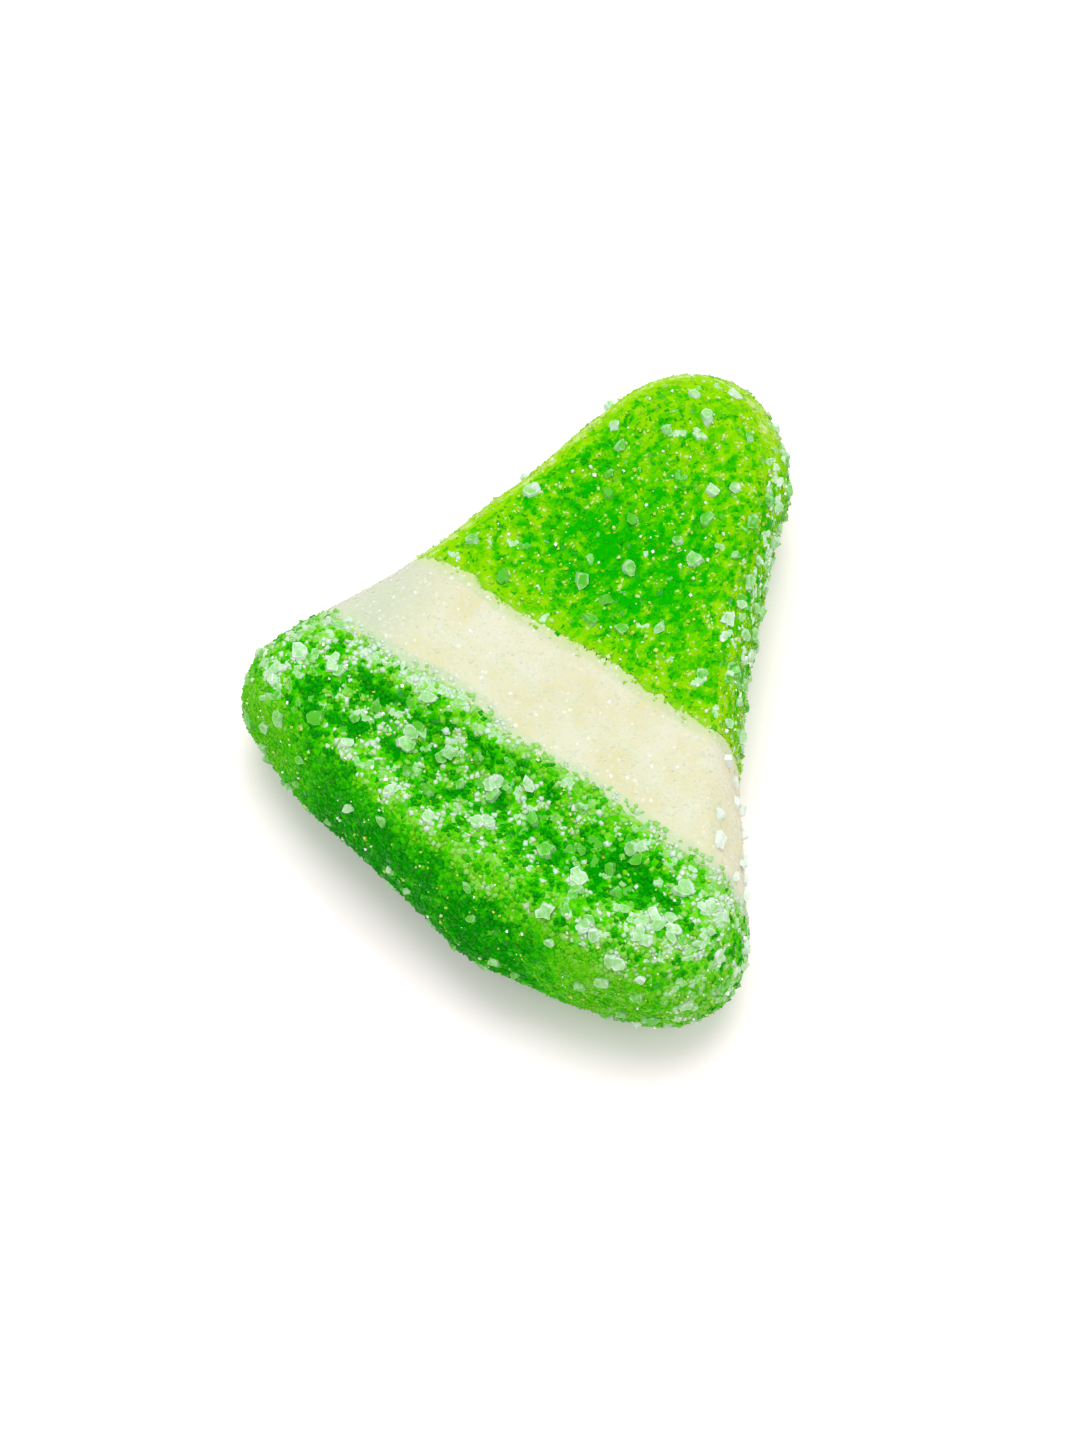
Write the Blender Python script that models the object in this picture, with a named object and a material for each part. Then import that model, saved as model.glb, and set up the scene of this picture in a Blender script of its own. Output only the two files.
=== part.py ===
"""A sugared jelly wedge of three layers: a green tip, a cream band and a green base.

Lengths are in metres, +Z is up. The wedge lies flat with its tip along +Y, and the origin is the
middle of its box on the underside.
"""
import functools
import math
import random

import bmesh
import bpy
from mathutils import Euler, Matrix, Vector, noise
from mathutils.bvhtree import BVHTree

MM = 0.001
TINY = 1e-6

# Thickness and rounding of the wedge
THICKNESS = 11.0 * MM
WAIST_HEIGHT = 5.0 * MM
TOP_ROUNDING = 3.2 * MM
BOTTOM_ROUNDING = 4.4 * MM

# The outline from above: the centre and radius of each corner's arc
LEFT_CORNER = (Vector((-13.1, -10.9)) * MM, 3.2 * MM)
RIGHT_CORNER = (Vector((11.2, -11.6)) * MM, 5.35 * MM)
TIP_CORNER = (Vector((-1.75, 12.25)) * MM, 5.9 * MM)

# Radius of each side's arc, which is hollow where it is negative
BASE_BEND = 42.0 * MM
RIGHT_BEND = -63.0 * MM
LEFT_BEND = -95.0 * MM

# How a ring nearer the top or the underside draws in: its corners shrink and move to the middle
MIDDLE = Vector((-0.6, -4.5)) * MM
CORNER_SHRINK = 0.5
CORNER_PULL = 0.75
SHRINK_DIGITS = 9

# Hollows in the top: middle, half length along X, half width along Y, depth
BASE_TROUGH = (Vector((0.2, -11.6)) * MM, 15.0 * MM, 3.3 * MM, 1.2 * MM)
TIP_DISH = (Vector((-1.2, 5.8)) * MM, 6.5 * MM, 9.0 * MM, 0.6 * MM)
CREAM_RIM = (Vector((0.6, -8.3)) * MM, 15.0 * MM, 1.3 * MM, -0.25 * MM)

# Slow unevenness of the whole surface
LUMP_SIZE = 5.0 * MM
LUMP_HEIGHT = 0.22 * MM
FLAT_BELOW = 1.5 * MM

# Broad swellings and dents of the wall: where, how far they reach, and how far they stand out
WALL_LUMPS = (
    (Vector((4.0, -18.2, 5.0)) * MM, 3.2 * MM, 0.55 * MM),
    (Vector((-4.5, -17.1, 5.0)) * MM, 3.6 * MM, -0.35 * MM),
    (Vector((12.6, -16.8, 5.0)) * MM, 2.6 * MM, -0.35 * MM),
    (Vector((16.3, -12.6, 5.0)) * MM, 2.6 * MM, 0.50 * MM),
    (Vector((-3.0, 18.0, 6.0)) * MM, 3.6 * MM, 0.35 * MM),
)

# Layers: where their borders cross the middle, and the gap that keeps them apart
CREAM_FROM = -7.9 * MM
CREAM_TO = -1.25 * MM
CREAM_SLOPE = -0.05
LAYER_GAP = 0.3 * MM

# Ripples of the borders: height, length over one radian, phase. The base's fade away from a middle
BASE_RIPPLE = (0.30 * MM, 1.7 * MM, -2.0)
BASE_RIPPLE_MIDDLE = -3.0 * MM
BASE_RIPPLE_REACH = 8.0 * MM
TIP_RIPPLES = ((0.14 * MM, 1.6 * MM, 1.0), (0.06 * MM, 0.7 * MM, 0.0))

# The cutters that part the layers
CUTTER_REACH = 25.0 * MM
CUTTER_STEPS = 26

# Clumps of crystals on the top: X and Y, how far they reach, how many crystals each
CLUMPS = (
    (12.2 * MM, -13.0 * MM, 1.1 * MM, 8),
    (-5.3 * MM, -10.8 * MM, 0.6 * MM, 5),
    (0.1 * MM, -11.3 * MM, 0.7 * MM, 5),
    (0.7 * MM, -12.7 * MM, 0.7 * MM, 4),
    (-3.0 * MM, -11.0 * MM, 0.5 * MM, 3),
    (-1.9 * MM, -14.2 * MM, 0.3 * MM, 2),
    (-4.7 * MM, -14.2 * MM, 0.3 * MM, 2),
    (7.0 * MM, -12.9 * MM, 0.6 * MM, 4),
    (9.3 * MM, -15.1 * MM, 0.6 * MM, 4),
    (8.9 * MM, -9.9 * MM, 0.6 * MM, 3),
    (12.4 * MM, -9.9 * MM, 0.5 * MM, 3),
    (14.2 * MM, -10.4 * MM, 0.5 * MM, 3),
    (11.4 * MM, -16.7 * MM, 0.3 * MM, 2),
    (-14.2 * MM, -12.2 * MM, 0.6 * MM, 4),
    (-13.0 * MM, -10.0 * MM, 0.6 * MM, 4),
    (-11.1 * MM, -9.5 * MM, 0.5 * MM, 3),
    (-7.8 * MM, 5.3 * MM, 0.3 * MM, 2),
    (2.0 * MM, 6.6 * MM, 0.4 * MM, 2),
    (6.0 * MM, 5.0 * MM, 0.3 * MM, 2),
)
CLUMP_CRYSTAL = (0.95 * MM, 1.30 * MM, 0.50)

# Other crystals, largest first: how many, longest side from and to, thickness against length
CRYSTAL_SIZES = (
    (60, 1.05 * MM, 1.30 * MM, 0.60),
    (100, 0.80 * MM, 1.00 * MM, 0.75),
)

# How likely one of them is to stay where it falls
STAYS_IN_TROUGH = 1.0
STAYS_AT_BASE_END = 0.6
STAYS_ON_BASE = 0.5
STAYS_ON_FRONT = 0.25
STAYS_ON_TIP = 0.25
STAYS_ON_LEFT = 0.03
STAYS_ON_RIGHT = 0.9
STAYS_UNDER = 0.2
BASE_END_FROM = 11.0 * MM
TROUGH_FROM = -0.3 * MM

# Which side of the wedge a surface is on, by its normal
SIDE_NORMAL = 0.5
TOP_NORMAL = 0.8
UNDER_NORMAL = -0.35

# A crystal's shape: second side against the first, how far corners draw in, how much thinner
# than its kind it may be, tilt in radians
CRYSTAL_WIDTH = (0.65, 0.90)
CRYSTAL_CORNER = (0.80, 1.00)
CRYSTAL_THINNED = (0.80, 1.00)
CRYSTAL_TILT = 0.75

# Its room: how deep it sinks, and how far it keeps from others, the borders and the floor
CRYSTAL_LIFT = -0.08
CRYSTAL_SPACING = 0.66
CRYSTAL_TO_BORDER = 0.62
CRYSTAL_TO_FLOOR = 0.75
CRYSTAL_FLOOR = 0.15 * MM
CRYSTAL_TRIES = 6000
SEED = 27

GRID_CUTS = 15
SHARP_FROM = math.radians(35)
LAYERS = {
    "base_jelly": ((0.055, 0.42, 0.02, 1.0), 0.35),
    "cream_band": ((0.83, 0.83, 0.52, 1.0), 0.55),
    "tip_jelly": ((0.09, 0.52, 0.01, 1.0), 0.30),
}


def angle_of(direction):
    return math.atan2(direction.y, direction.x)


def side_centre(start, end, bend):
    """Centre of the arc of radius bend that touches two corner circles."""
    reach = abs(bend - start[1])
    other_reach = abs(bend - end[1])
    along = end[0] - start[0]
    span = along.length
    along.normalize()
    foot = (reach ** 2 - other_reach ** 2 + span ** 2) / (2 * span)
    across = Vector((-along.y, along.x)) * math.sqrt(reach ** 2 - foot ** 2)
    return start[0] + along * foot + (across if bend > 0 else -across)


def drawn_in(corner, shrink):
    """A corner circle moved towards the middle, and made smaller."""
    centre, radius = corner
    inward = (MIDDLE - centre).normalized()
    return centre + inward * CORNER_PULL * shrink, radius - CORNER_SHRINK * shrink


@functools.lru_cache(maxsize=None)
def outline(shrink):
    """Six arcs round the wedge, anticlockwise: (centre, radius, first angle, sweep)."""
    corners = [drawn_in(c, shrink) for c in (LEFT_CORNER, RIGHT_CORNER, TIP_CORNER)]
    bends = (BASE_BEND, RIGHT_BEND, LEFT_BEND)
    sides = []
    for i, bend in enumerate(bends):
        start, end = corners[i], corners[(i + 1) % 3]
        centre = side_centre(start, end, bend)
        outward = 1 if bend > 0 else -1
        normals = [outward * (c[0] - centre).normalized() for c in (start, end)]
        sides.append((centre, outward, normals))
    arcs = []
    for i, bend in enumerate(bends):
        centre, outward, normals = sides[i]
        first = angle_of(sides[i - 1][2][1])
        sweep = (angle_of(normals[0]) - first) % math.tau
        arcs.append((corners[i][0], corners[i][1], first, sweep))
        first = angle_of(outward * normals[0])
        sweep = (angle_of(outward * normals[1]) - first + math.pi) % math.tau - math.pi
        arcs.append((centre, abs(bend), first, sweep))
    return arcs


def outline_point(share, shrink):
    """A point of the drawn-in outline, by its share of the way round the full one.

    The way starts at the middle of the left corner.
    """
    lengths = [radius * abs(sweep) for _, radius, _, sweep in outline(0.0)]
    way = (share * sum(lengths) + lengths[0] / 2) % sum(lengths)
    index = 0
    while way > lengths[index] and index < len(lengths) - 1:
        way -= lengths[index]
        index += 1
    centre, radius, first, sweep = outline(shrink)[index]
    angle = first + sweep * way / lengths[index]
    return centre + radius * Vector((math.cos(angle), math.sin(angle)))


def share_round_square(u, v):
    """How far round a square a direction points, anticlockwise from its lower left corner."""
    reach = max(abs(u), abs(v), TINY)
    u, v = u / reach, v / reach
    if v <= -1 + TINY:
        return (u + 1) / 8
    if u >= 1 - TINY:
        return 0.25 + (v + 1) / 8
    if v >= 1 - TINY:
        return 0.5 + (1 - u) / 8
    return 0.75 + (1 - v) / 8


def hollow(x, y, shape):
    """Height of a smooth hollow, which fades out at the edge of its ellipse."""
    centre, half_length, half_width, depth = shape
    reach = math.hypot((x - centre.x) / half_length, (y - centre.y) / half_width)
    return -depth * math.cos(0.5 * math.pi * min(reach, 1.0)) ** 2


def moulded(u, v, w):
    """Where a point on the surface of a cube from -1 to 1 lies on the wedge."""
    turn = 0.5 * math.pi * w
    rise = math.sin(turn)
    drawn = 1 - math.cos(turn)
    if w > 0:
        shrink = TOP_ROUNDING * drawn
        z = WAIST_HEIGHT + (THICKNESS - WAIST_HEIGHT) * rise
    else:
        shrink = BOTTOM_ROUNDING * drawn
        z = WAIST_HEIGHT * (1 + rise)
    edge = outline_point(share_round_square(u, v), round(shrink, SHRINK_DIGITS))
    place = MIDDLE.lerp(edge, max(abs(u), abs(v)))
    if w > 0:
        relief = sum(hollow(place.x, place.y, s) for s in (BASE_TROUGH, TIP_DISH, CREAM_RIM))
        z += relief * rise ** 3
    return Vector((place.x, place.y, z))


def unevenness(place):
    """Height of the lumps at a place, none on the flat that the wedge rests on."""
    height = noise.noise(place / LUMP_SIZE) * LUMP_HEIGHT
    for centre, reach, rise in WALL_LUMPS:
        height += rise * math.exp(-((place - centre).length / reach) ** 2)
    return height * min(1.0, place.z / FLAT_BELOW)


def wedge(cuts):
    """The whole wedge, closed: a cube's grid of squares, moulded and made uneven."""
    bm = bmesh.new()
    bmesh.ops.create_cube(bm, size=2.0)
    bmesh.ops.subdivide_edges(bm, edges=bm.edges[:], cuts=cuts, use_grid_fill=True)
    for vert in bm.verts:
        vert.co = moulded(*vert.co)
    bm.normal_update()
    offsets = [vert.normal * unevenness(vert.co) for vert in bm.verts]
    for vert, offset in zip(bm.verts, offsets):
        vert.co += offset
    return bm


def finished_mesh(name, bm):
    """A mesh of flat triangles, which a Boolean joins without doubt about bent squares."""
    bmesh.ops.triangulate(bm, faces=bm.faces[:])
    mesh = bpy.data.meshes.new(name)
    bm.to_mesh(mesh)
    bm.free()
    return mesh


def ripple(x, shape):
    height, length, phase = shape
    return height * math.sin(x / length + phase)


def base_border(x):
    """The line between base and cream."""
    fade = math.exp(-((x - BASE_RIPPLE_MIDDLE) / BASE_RIPPLE_REACH) ** 2)
    return CREAM_FROM + CREAM_SLOPE * x + ripple(x, BASE_RIPPLE) * fade


def tip_border(x):
    """The line between cream and tip."""
    return CREAM_TO + sum(ripple(x, shape) for shape in TIP_RIPPLES)


def layer_of(place):
    """The layer that a place is in, and its distance from the nearest border."""
    past_base = place.y - base_border(place.x)
    past_cream = place.y - tip_border(place.x)
    room = min(abs(past_base), abs(past_cream))
    if past_base < 0:
        return "base_jelly", room
    return ("cream_band", room) if past_cream < 0 else ("tip_jelly", room)


def wavy_slab(name, low, high, collection):
    """A cutter that keeps what lies between two lines across the wedge, through its thickness."""
    bm = bmesh.new()
    bmesh.ops.create_grid(bm, x_segments=CUTTER_STEPS, y_segments=1, size=1.0)
    for vert in bm.verts:
        x = vert.co.x * CUTTER_REACH
        line = high if vert.co.y > 0 else low
        vert.co = Vector((x, line(x), -THICKNESS))
    raised = bmesh.ops.extrude_face_region(bm, geom=bm.faces[:])
    top = [item for item in raised["geom"] if isinstance(item, bmesh.types.BMVert)]
    bmesh.ops.translate(bm, verts=top, vec=Vector((0, 0, 3 * THICKNESS)))
    bmesh.ops.recalc_face_normals(bm, faces=bm.faces[:])
    cutter = bpy.data.objects.new(name, finished_mesh(name, bm))
    cutter.hide_render = True
    cutter.display_type = "WIRE"
    collection.objects.link(cutter)
    return cutter


def sugar_share(place, normal):
    """How likely a crystal is to stay: dense in the trough and down the right, thin on the left."""
    layer, _ = layer_of(place)
    faces_right = normal.x > SIDE_NORMAL
    if layer == "cream_band":
        return STAYS_ON_RIGHT if faces_right and normal.z > 0 else 0.0
    if normal.z < UNDER_NORMAL:
        return STAYS_UNDER
    if layer == "tip_jelly":
        on_side = STAYS_ON_RIGHT if faces_right else STAYS_ON_LEFT
        return STAYS_ON_TIP if normal.z > TOP_NORMAL else on_side
    if hollow(place.x, place.y, BASE_TROUGH) < TROUGH_FROM and normal.z > TOP_NORMAL:
        return STAYS_IN_TROUGH
    if abs(place.x) > BASE_END_FROM:
        return STAYS_AT_BASE_END
    return STAYS_ON_FRONT if normal.y < -SIDE_NORMAL else STAYS_ON_BASE


def off_border(place, size):
    return layer_of(place)[1] > CRYSTAL_TO_BORDER * size + LAYER_GAP


def clump_crystals(surface, rng):
    """Places for the crystals of every clump, which overlap: (place, normal, size, flatness)."""
    smallest, largest, flatness = CLUMP_CRYSTAL
    placed = []
    for x, y, reach, count in CLUMPS:
        for _ in range(count):
            way = rng.uniform(0, math.tau)
            off = reach * math.sqrt(rng.random())
            above = Vector((x + off * math.cos(way), y + off * math.sin(way), THICKNESS))
            place, normal, _, _ = surface.find_nearest(above)
            size = rng.uniform(smallest, largest)
            if off_border(place, size):
                placed.append((place, normal, size, flatness))
    return placed


def scattered_crystals(body):
    """Places for all crystals: those of the clumps, then others drawn at random over the surface.

    One of the others stays where it is clear of the earlier ones, of the borders and of the floor.
    """
    rng = random.Random(SEED)
    body.calc_loop_triangles()
    triangles = [[body.vertices[i].co for i in t.vertices] for t in body.loop_triangles]
    areas = [t.area for t in body.loop_triangles]
    surface = BVHTree.FromPolygons(
        [v.co for v in body.vertices], [tuple(t.vertices) for t in body.loop_triangles])
    placed = clump_crystals(surface, rng)
    for count, smallest, largest, flatness in CRYSTAL_SIZES:
        wanted = len(placed) + count
        for a, b, c in rng.choices(triangles, weights=areas, k=CRYSTAL_TRIES):
            along, across = rng.random(), rng.random()
            if along + across > 1:
                along, across = 1 - along, 1 - across
            place = a + (b - a) * along + (c - a) * across
            _, normal, _, _ = surface.find_nearest(place)
            size = rng.uniform(smallest, largest)
            clear = all((place - p).length > CRYSTAL_SPACING * (size + s) for p, _, s, _ in placed)
            off_floor = place.z > CRYSTAL_TO_FLOOR * size + CRYSTAL_FLOOR
            stays = rng.random() < sugar_share(place, normal)
            if stays and clear and off_floor and off_border(place, size):
                placed.append((place, normal, size, flatness))
            if len(placed) == wanted:
                break
    return placed


def add_crystal(spot, rng, collection):
    """One crystal: a block with unlike sides, half sunk and tilted. A flat one tilts less."""
    place, normal, size, flatness = spot
    thickness = size * flatness * rng.uniform(*CRYSTAL_THINNED)
    sides = Vector((size, size * rng.uniform(*CRYSTAL_WIDTH), thickness))
    tilt = CRYSTAL_TILT * flatness
    turned = Euler((rng.uniform(-tilt, tilt), rng.uniform(-tilt, tilt), rng.uniform(0, math.tau)))
    frame = normal.to_track_quat("Z", "Y").to_matrix().to_4x4() @ turned.to_matrix().to_4x4()
    bm = bmesh.new()
    bmesh.ops.create_cube(bm, size=1.0)
    for vert in bm.verts:
        vert.co *= rng.uniform(*CRYSTAL_CORNER)
    bmesh.ops.transform(bm, matrix=Matrix.Diagonal(sides).to_4x4(), verts=bm.verts)
    centre = place + normal * sides.z * CRYSTAL_LIFT
    bmesh.ops.transform(bm, matrix=Matrix.Translation(centre) @ frame, verts=bm.verts)
    collection.objects.link(bpy.data.objects.new("crystal", finished_mesh("crystal", bm)))


def new_collection(name):
    collection = bpy.data.collections.new(name)
    bpy.context.scene.collection.children.link(collection)
    return collection


def new_material(name, colour, roughness):
    material = bpy.data.materials.new(name)
    material.use_nodes = True
    shader = material.node_tree.nodes["Principled BSDF"]
    shader.inputs["Base Color"].default_value = colour
    shader.inputs["Roughness"].default_value = roughness
    shader.inputs["Metallic"].default_value = 0.0
    return material


def apply_modifiers(obj):
    """Replaces an object's mesh by its evaluated one."""
    evaluated = obj.evaluated_get(bpy.context.evaluated_depsgraph_get())
    mesh = bpy.data.meshes.new_from_object(evaluated)
    obj.modifiers.clear()
    obj.data = mesh


def add_layer(name, body, slab, crystals, parts):
    """One layer: the wedge cut to its slab, with its crystals fused on."""
    layer = bpy.data.objects.new(name, body.copy())
    parts.objects.link(layer)
    cut = layer.modifiers.new("keep_layer", "BOOLEAN")
    cut.operation = "INTERSECT"
    cut.object = slab
    fuse = layer.modifiers.new("fuse_crystals", "BOOLEAN")
    fuse.operation = "UNION"
    fuse.operand_type = "COLLECTION"
    fuse.collection = crystals
    apply_modifiers(layer)
    layer.data.name = name
    layer.data.materials.clear()
    colour, roughness = LAYERS[name]
    layer.data.materials.append(new_material(name, colour, roughness))
    layer.data.shade_smooth()
    layer.data.set_sharp_from_angle(angle=SHARP_FROM)
    return layer


def main():
    for obj in list(bpy.data.objects):
        bpy.data.objects.remove(obj, do_unlink=True)
    parts = new_collection("sugared_jelly_wedge")
    cutters = new_collection("cutters")
    body = finished_mesh("wedge", wedge(GRID_CUTS))
    half_gap = LAYER_GAP / 2
    slabs = {
        "base_jelly": (lambda x: -CUTTER_REACH, lambda x: base_border(x) - half_gap),
        "cream_band": (lambda x: base_border(x) + half_gap, lambda x: tip_border(x) - half_gap),
        "tip_jelly": (lambda x: tip_border(x) + half_gap, lambda x: CUTTER_REACH),
    }
    rng = random.Random(SEED + 1)
    sugar = {name: new_collection(name + "_crystals") for name in slabs}
    for spot in scattered_crystals(body):
        add_crystal(spot, rng, sugar[layer_of(spot[0])[0]])
    for name, (low, high) in slabs.items():
        slab = wavy_slab(name + "_slab", low, high, cutters)
        add_layer(name, body, slab, sugar[name], parts)
    for collection in (*sugar.values(), cutters):
        for obj in list(collection.objects):
            bpy.data.objects.remove(obj, do_unlink=True)
        bpy.data.collections.remove(collection)


main()
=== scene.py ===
"""Looks of a sugared jelly wedge: a green tip, a cream band and a green base under sugar crystals."""
import functools
import itertools
import math
import random

import bmesh
import bpy
import numpy as np
from mathutils import Euler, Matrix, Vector, noise
from mathutils.bvhtree import BVHTree
from mathutils.kdtree import KDTree


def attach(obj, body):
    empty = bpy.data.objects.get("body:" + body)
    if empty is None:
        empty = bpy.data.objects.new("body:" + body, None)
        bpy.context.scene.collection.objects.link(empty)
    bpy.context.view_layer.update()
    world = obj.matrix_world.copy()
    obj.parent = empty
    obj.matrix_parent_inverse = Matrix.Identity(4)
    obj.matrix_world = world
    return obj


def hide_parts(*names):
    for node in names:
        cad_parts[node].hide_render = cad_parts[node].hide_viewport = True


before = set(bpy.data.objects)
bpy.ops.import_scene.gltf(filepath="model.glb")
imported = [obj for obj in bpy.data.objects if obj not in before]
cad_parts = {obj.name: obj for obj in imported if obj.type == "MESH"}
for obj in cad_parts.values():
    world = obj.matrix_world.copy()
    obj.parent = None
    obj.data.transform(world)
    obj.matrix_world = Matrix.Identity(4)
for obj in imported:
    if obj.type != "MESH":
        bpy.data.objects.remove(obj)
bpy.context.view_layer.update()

MM = 0.001
TINY = 1e-6

# Thickness and rounding of the wedge
THICKNESS = 11.0 * MM
WAIST_HEIGHT = 5.0 * MM
TOP_ROUNDING = 3.2 * MM
BOTTOM_ROUNDING = 4.4 * MM

# The outline from above: the centre and radius of each corner's arc
LEFT_CORNER = (Vector((-13.1, -10.9)) * MM, 3.2 * MM)
RIGHT_CORNER = (Vector((11.2, -11.6)) * MM, 5.35 * MM)
TIP_CORNER = (Vector((-1.75, 12.25)) * MM, 5.9 * MM)

# Radius of each side's arc, which is hollow where it is negative
BASE_BEND = 42.0 * MM
RIGHT_BEND = -63.0 * MM
LEFT_BEND = -95.0 * MM

# How a ring nearer the top or the underside draws in: its corners shrink and move to the middle
MIDDLE = Vector((-0.6, -4.5)) * MM
CORNER_SHRINK = 0.5
CORNER_PULL = 0.75
SHRINK_DIGITS = 9

# Hollows in the top: middle, half length along X, half width along Y, depth
BASE_TROUGH = (Vector((0.2, -11.6)) * MM, 15.0 * MM, 3.3 * MM, 1.2 * MM)
TIP_DISH = (Vector((-1.2, 5.8)) * MM, 6.5 * MM, 9.0 * MM, 0.6 * MM)
CREAM_RIM = (Vector((0.6, -8.3)) * MM, 15.0 * MM, 1.3 * MM, -0.25 * MM)

# Slow unevenness of the whole surface
LUMP_SIZE = 5.0 * MM
LUMP_HEIGHT = 0.22 * MM
FLAT_BELOW = 1.5 * MM

# Broad swellings and dents of the wall: where, how far they reach, and how far they stand out
WALL_LUMPS = (
    (Vector((4.0, -18.2, 5.0)) * MM, 3.2 * MM, 0.55 * MM),
    (Vector((-4.5, -17.1, 5.0)) * MM, 3.6 * MM, -0.35 * MM),
    (Vector((12.6, -16.8, 5.0)) * MM, 2.6 * MM, -0.35 * MM),
    (Vector((16.3, -12.6, 5.0)) * MM, 2.6 * MM, 0.50 * MM),
    (Vector((-3.0, 18.0, 6.0)) * MM, 3.6 * MM, 0.35 * MM),
)

# Layers: where their borders cross the middle, and the gap that keeps them apart
CREAM_FROM = -7.9 * MM
CREAM_TO = -1.25 * MM
CREAM_SLOPE = -0.05
LAYER_GAP = 0.3 * MM

# Ripples of the borders: height, length over one radian, phase. The base's fade away from a middle
BASE_RIPPLE = (0.30 * MM, 1.7 * MM, -2.0)
BASE_RIPPLE_MIDDLE = -3.0 * MM
BASE_RIPPLE_REACH = 8.0 * MM
TIP_RIPPLES = ((0.14 * MM, 1.6 * MM, 1.0), (0.06 * MM, 0.7 * MM, 0.0))

# Clumps of crystals on the top: X, Y and reach in millimetres, and how many crystals
CLUMPS = (
    (12.2, -13.0, 1.1, 8), (-5.3, -10.8, 0.6, 5), (0.1, -11.3, 0.7, 5), (0.7, -12.7, 0.7, 4),
    (-3.0, -11.0, 0.5, 3), (-1.9, -14.2, 0.3, 2), (-4.7, -14.2, 0.3, 2), (7.0, -12.9, 0.6, 4),
    (9.3, -15.1, 0.6, 4), (8.9, -9.9, 0.6, 3), (12.4, -9.9, 0.5, 3), (14.2, -10.4, 0.5, 3),
    (11.4, -16.7, 0.3, 2), (-14.2, -12.2, 0.6, 4), (-13.0, -10.0, 0.6, 4), (-11.1, -9.5, 0.5, 3),
    (-7.8, 5.3, 0.3, 2), (2.0, 6.6, 0.4, 2), (6.0, 5.0, 0.3, 2),
)
CLUMP_CRYSTAL = (0.95 * MM, 1.30 * MM, 0.50)

# Other crystals, largest first: how many, longest side from and to, thickness against length
CRYSTAL_SIZES = (
    (60, 1.05 * MM, 1.30 * MM, 0.60),
    (100, 0.80 * MM, 1.00 * MM, 0.75),
)

# How likely one of them is to stay where it falls
STAYS_IN_TROUGH = 1.0
STAYS_AT_BASE_END = 0.6
STAYS_ON_BASE = 0.5
STAYS_ON_FRONT = 0.25
STAYS_ON_TIP = 0.25
STAYS_ON_LEFT = 0.03
STAYS_ON_RIGHT = 0.9
STAYS_UNDER = 0.2
BASE_END_FROM = 11.0 * MM
TROUGH_FROM = -0.3 * MM

# Which side of the wedge a surface is on, by its normal
SIDE_NORMAL = 0.5
TOP_NORMAL = 0.8
UNDER_NORMAL = -0.35

# A crystal's shape: second side against the first, how far corners draw in, how much thinner
# than its kind it may be, tilt in radians
CRYSTAL_WIDTH = (0.65, 0.90)
CRYSTAL_CORNER = (0.80, 1.00)
CRYSTAL_THINNED = (0.80, 1.00)
CRYSTAL_TILT = 0.75

# Its room: how deep it sinks, and how far it keeps from others, the borders and the floor
CRYSTAL_LIFT = -0.08
CRYSTAL_SPACING = 0.66
CRYSTAL_TO_BORDER = 0.62
CRYSTAL_TO_FLOOR = 0.75
CRYSTAL_FLOOR = 0.15 * MM
CRYSTAL_TRIES = 6000
SEED = 27
SOLID_CUTS = 15

# Fine surface. The cream runs on under the greens, and sinks there
FINE_CUTS = 111
CREAM_UNDER = 1.0 * MM
CREAM_SINK = 0.12 * MM
CREAM_SINK_AT_BORDER = 0.15
CREAM_SINK_RISE = 2.0

# The borders wander at the size of a grain: length, height, and how near a point is moved onto them
BORDER_STEP = 0.6 * MM
BORDER_DRIFT = 0.35 * MM
BORDER_SNAP = 0.25 * MM

# Uneven patches: size on the base and on the tip, roughness, octaves, how much they show in the
# jelly. Sugar is paler within a reach of a clump's crystals
BASE_PATCH = 1.1 * MM
TIP_PATCH = 0.6 * MM
PATCH_ROUGHNESS = 0.5
PATCH_OCTAVES = 4
PATCHES_IN_JELLY = 0.4
CLUSTER_REACH = 0.9 * MM

# Round zones that differ in the photograph, in millimetres: middle X and Y, reach along X and Y
DARK_PIT = (9.1, -11.1, 2.4, 1.3)
LEFT_PIT = (-8.4, -10.9, 2.6, 1.4)
WHITE_SHEET = (11.9, -13.2, 2.0, 1.3)
TIP_MIDDLE = (-0.8, 4.8, 5.5, 4.5)

# Bands across the wedge, in millimetres: middle Y and width. Two more follow a border: width
TROUGH_BAND = (-11.2, 2.0)
APEX_BAND = (16.0, 2.5)
RIM_WIDTH = 1.1
NEAR_CREAM_WIDTH = 1.2

# The ridge's line lies this far towards the front, and bends forwards on the right. Along it the base
# gets a painted highlight
RIDGE_Y = 15.3
RIDGE_SLOPE = 0.12
RIDGE_BEND_END = 15
RIDGE_WIDTH = 1.0

# Where zones start or end, and the length of the change, by how far a surface faces up or aside
LEVEL = (0.4, 0.4)
WALL = (0.85, 0.5)
LOW_WALL = (0.85, 0.35)
FRONT = (0.0, 0.5)
RIGHT_EDGE = (0.3, 1 / 3)
TIP_RIGHT = (0.45, 0.4)
TIP_LEFT = (-0.3, 1 / 3)
BARE_LEFT = (-0.4, 0.25)
UNDERSIDE = (-0.75, 0.25)
# The rim that gets painted light: how far it faces up, and how little it faces the front
LIT_RIM_UP = (0.4, 0.24)
LIT_RIM_FRONT = 0.3

# The same by X, and once by Y, in millimetres
TROUGH_RIGHT = (12.5, 2.0)
LEFT_END = (-11.0, 2.0)
LEFT_END_Y = (-14.5, 1.0)
RIM_RIGHT = (-6.0, 3.0)
RIM_MIDDLE = -3.0
RIGHT_END = (11.0, 2.0)
LOW_WALL_LEFT = (-12.0, 4.0)
LOW_WALL_RIGHT = (9.0, 4.0)
CREAM_LEFT = (-8.0, 3.0)

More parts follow.
